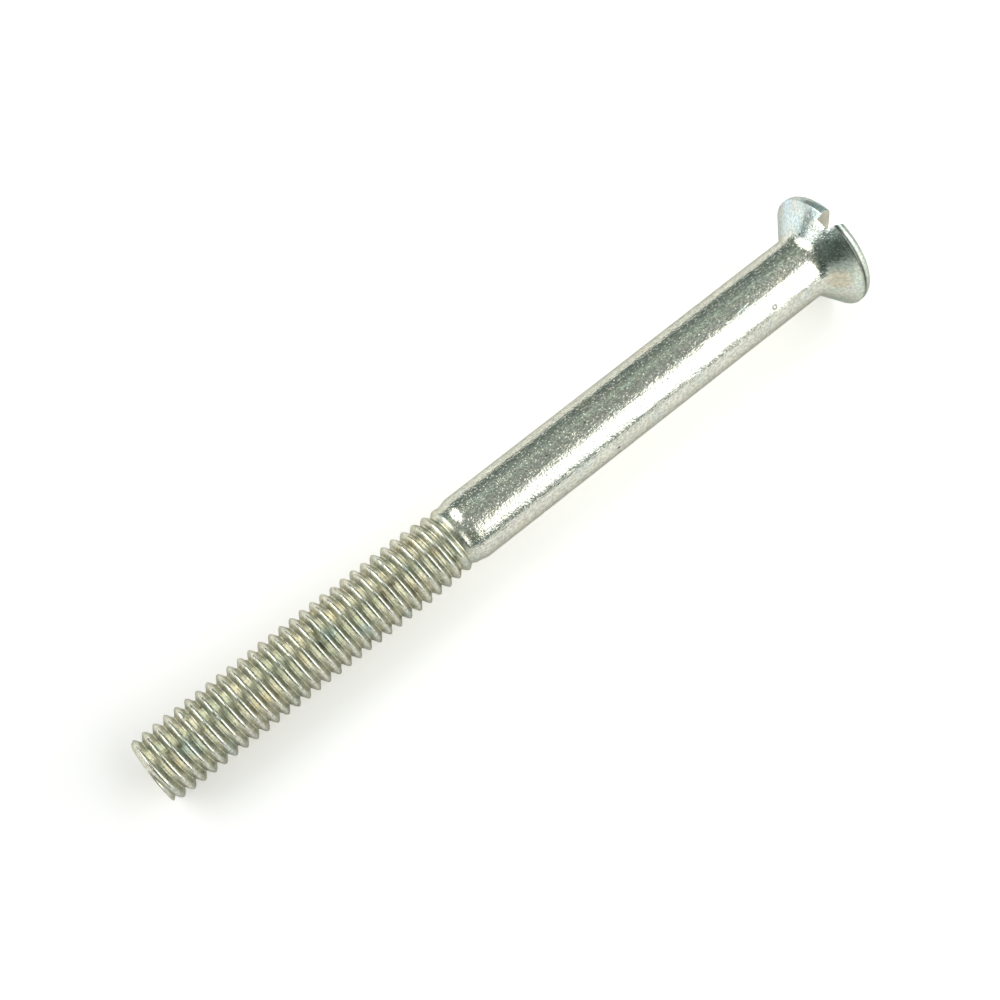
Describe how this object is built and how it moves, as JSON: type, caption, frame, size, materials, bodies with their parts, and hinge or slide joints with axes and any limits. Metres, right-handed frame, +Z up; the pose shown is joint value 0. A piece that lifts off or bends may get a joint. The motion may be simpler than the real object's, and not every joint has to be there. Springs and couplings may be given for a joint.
{
  "type": "plug screw",
  "caption": "Long slotted screw with a raised countersunk head, plain shank and coarse thread, lying on its side.",
  "frame": {"origin": "centre of the footprint on the surface that the screw lies on", "axes": "+Z up; +X from the threaded tip to the head, along the screw as it lies; the slot stands upright in the XZ plane"},
  "size_m": [0.0702, 0.0104, 0.0104],
  "materials": {
    "zinc_plate": "bright zinc plate on steel with a faint blue, green and yellow passivation tint, slightly pitted and scuffed"
  },
  "bodies": {
    "root": {"plug_screw": "zinc_plate"}
  },
  "joints": []
}
